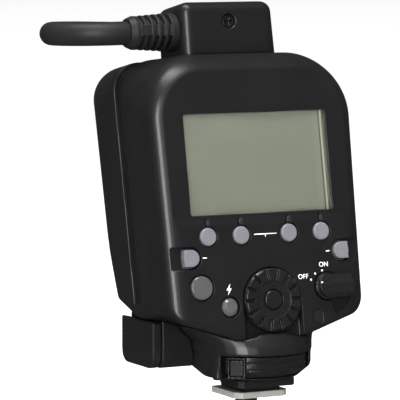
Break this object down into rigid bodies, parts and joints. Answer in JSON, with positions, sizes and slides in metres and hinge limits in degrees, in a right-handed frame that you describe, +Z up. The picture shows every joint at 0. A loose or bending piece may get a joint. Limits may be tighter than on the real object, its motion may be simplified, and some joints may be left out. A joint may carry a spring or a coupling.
{
  "type": "macro ring flash",
  "caption": "Macro ring flash: shoe-mounted control unit with display, keys, dial, switch, battery bay and power socket, a short cord, and a ring head that clips round a lens.",
  "frame": {"origin": "centre of the shoe foot's underside", "axes": "+Z up, +Y towards the lens and the way the foot slides into a shoe, -Y towards the user and the control panel, +X to the right seen from the user"},
  "size_m": [0.142, 0.089, 0.2682],
  "materials": {
    "casing_black": "fine satin texture",
    "groove_black": "matt",
    "control_black": "satin",
    "clear_window": "polished",
    "display_glass": "grey-green display",
    "light_guide": "frosted",
    "white_plastic": "moulded",
    "circuit_board": "solder mask",
    "grey_rubber": "matt",
    "inner_plastic": "moulded",
    "smoked_lens": "polished",
    "transformer_core": "varnished",
    "capacitor_sleeve": "shrunk sleeve",
    "cell_can": "printed can",
    "contact_metal": "plated",
    "screw_steel": "plain",
    "black_steel": "blackened",
    "foot_metal": "brushed nickel",
    "key_grey": "satin",
    "test_key_grey": "translucent",
    "cord_rubber": "matt",
    "cover_rubber": "satin",
    "tube_glass": "polished",
    "reflector_metal": "bright",
    "diffuser": "ribbed",
    "lamp_lens": "polished"
  },
  "bodies": {
    "control_unit": {"rear_casing": "casing_black", "front_casing": "casing_black", "centre_frame": "groove_black", "lcd_window": "clear_window", "lcd_panel": "display_glass", "lcd_backlight": "light_guide", "lcd_holder": "white_plastic", "main_board": "circuit_board", "key_mat": "grey_rubber", "panel_encoders": "inner_plastic", "confirm_lamp": "smoked_lens", "power_board": "circuit_board", "transformer": "transformer_core", "main_capacitor": "capacitor_sleeve", "battery_holder": "inner_plastic", "battery_cells": "cell_can", "battery_contacts": "contact_metal", "door_pin": "screw_steel", "casing_screws": "screw_steel", "cord_housing": "casing_black", "housing_screw": "black_steel", "strain_relief": "cord_rubber", "flash_cord": "cord_rubber", "base_casing": "casing_black", "foot_column": "casing_black", "foot_plate": "foot_metal", "foot_screws": "screw_steel", "weather_seal": "cord_rubber", "socket_housing": "casing_black", "socket_pins": "contact_metal", "ring_rear_housing": "casing_black", "ring_front_housing": "casing_black", "ring_strain_relief": "cord_rubber", "flash_tubes": "tube_glass", "tube_reflectors": "reflector_metal", "diffuser_windows": "diffuser", "focus_lamps": "lamp_lens", "ring_board": "circuit_board"},
    "battery_door": {"battery_door": "casing_black", "door_contacts": "contact_metal"},
    "select_dial": {"select_dial": "control_black"},
    "set_button": {"set_button": "control_black"},
    "function_button_1": {"function_button_1": "key_grey"},
    "function_button_2": {"function_button_2": "key_grey"},
    "function_button_3": {"function_button_3": "key_grey"},
    "function_button_4": {"function_button_4": "key_grey"},
    "lamp_button": {"lamp_button": "key_grey"},
    "ratio_button": {"ratio_button": "key_grey"},
    "mode_button": {"mode_button": "key_grey"},
    "test_button": {"test_button": "test_key_grey"},
    "power_switch": {"power_switch": "control_black"},
    "lock_lever": {"lock_lever": "casing_black"},
    "lock_release_button": {"lock_release_button": "control_black"},
    "lock_pin": {"lock_pin": "screw_steel"},
    "contact_pins": {"contact_pins": "contact_metal"},
    "socket_cover": {"socket_cover": "cover_rubber"},
    "release_button_left": {"release_button_left": "key_grey"},
    "release_button_right": {"release_button_right": "key_grey"},
    "latch_left": {"latch_left": "screw_steel"},
    "latch_right": {"latch_right": "screw_steel"}
  },
  "joints": [
    {"name": "set_button_press", "type": "slide", "parent": "control_unit", "child": "set_button", "axis": [0, 0.9833, -0.1822], "range_m": [0, 0.0006], "stiffness_N_per_m": 1200},
    {"name": "function_button_1_press", "type": "slide", "parent": "control_unit", "child": "function_button_1", "axis": [0, 0.9833, -0.1822], "range_m": [0, 0.0006], "stiffness_N_per_m": 1200},
    {"name": "function_button_2_press", "type": "slide", "parent": "control_unit", "child": "function_button_2", "axis": [0, 0.9833, -0.1822], "range_m": [0, 0.0006], "stiffness_N_per_m": 1200},
    {"name": "function_button_3_press", "type": "slide", "parent": "control_unit", "child": "function_button_3", "axis": [0, 0.9833, -0.1822], "range_m": [0, 0.0006], "stiffness_N_per_m": 1200},
    {"name": "function_button_4_press", "type": "slide", "parent": "control_unit", "child": "function_button_4", "axis": [0, 0.9833, -0.1822], "range_m": [0, 0.0006], "stiffness_N_per_m": 1200},
    {"name": "lamp_button_press", "type": "slide", "parent": "control_unit", "child": "lamp_button", "axis": [0, 0.9833, -0.1822], "range_m": [0, 0.0006], "stiffness_N_per_m": 1200},
    {"name": "ratio_button_press", "type": "slide", "parent": "control_unit", "child": "ratio_button", "axis": [0, 0.9833, -0.1822], "range_m": [0, 0.0006], "stiffness_N_per_m": 1200},
    {"name": "mode_button_press", "type": "slide", "parent": "control_unit", "child": "mode_button", "axis": [0, 0.9833, -0.1822], "range_m": [0, 0.0006], "stiffness_N_per_m": 1200},
    {"name": "test_button_press", "type": "slide", "parent": "control_unit", "child": "test_button", "axis": [0, 0.9833, -0.1822], "range_m": [0, 0.0006], "stiffness_N_per_m": 1200},
    {"name": "select_dial_spin", "type": "hinge", "parent": "control_unit", "child": "select_dial", "pos_m": [0.0006, -0.01363, 0.03118], "axis": [0, 0.9833, -0.1822], "continuous": true},
    {"name": "power_switch_turn", "type": "hinge", "parent": "control_unit", "child": "power_switch", "pos_m": [0.0202, -0.01305, 0.03433], "axis": [0, 0.9833, -0.1822], "range_deg": [0, 52]},
    {"name": "battery_door_swing", "type": "hinge", "parent": "control_unit", "child": "battery_door", "pos_m": [0.0329, 0.01622, 0.04904], "axis": [0, 0.9833, -0.1822], "range_deg": [0, 90]},
    {"name": "lock_lever_turn", "type": "hinge", "parent": "control_unit", "child": "lock_lever", "pos_m": [0, 0, 0.0105], "axis": [0, 0, 1], "range_deg": [0, 40]},
    {"name": "lock_release_press", "type": "slide", "parent": "lock_lever", "child": "lock_release_button", "axis": [0.6561, 0.7547, 0], "range_m": [0, 0.001], "stiffness_N_per_m": 800},
    {"name": "lock_pin_drop", "type": "slide", "parent": "control_unit", "child": "lock_pin", "axis": [0, 0, -1], "range_m": [0, 0.0016]},
    {"name": "contact_pins_press", "type": "slide", "parent": "control_unit", "child": "contact_pins", "axis": [0, 0, 1], "range_m": [0, 0.0005], "stiffness_N_per_m": 500},
    {"name": "socket_cover_swing", "type": "hinge", "parent": "control_unit", "child": "socket_cover", "pos_m": [-0.0297, 0.0244, 0.017], "axis": [0, 0, -1], "range_deg": [0, 90]},
    {"name": "release_left_press", "type": "slide", "parent": "control_unit", "child": "release_button_left", "axis": [1, 0, 0], "range_m": [0, 0.003], "stiffness_N_per_m": 800},
    {"name": "release_right_press", "type": "slide", "parent": "control_unit", "child": "release_button_right", "axis": [-1, 0, 0], "range_m": [0, 0.003], "stiffness_N_per_m": 800},
    {"name": "latch_left_draw", "type": "slide", "parent": "control_unit", "child": "latch_left", "axis": [-1, 0, 0], "range_m": [0, 0.0015]},
    {"name": "latch_right_draw", "type": "slide", "parent": "control_unit", "child": "latch_right", "axis": [1, 0, 0], "range_m": [0, 0.0015]}
  ],
  "couplings": [
    {"joint": "lock_pin_drop", "follows": "lock_lever_turn", "m_per_rad": 0.00229},
    {"joint": "latch_left_draw", "follows": "release_left_press", "ratio": 0.5},
    {"joint": "latch_right_draw", "follows": "release_right_press", "ratio": 0.5}
  ]
}
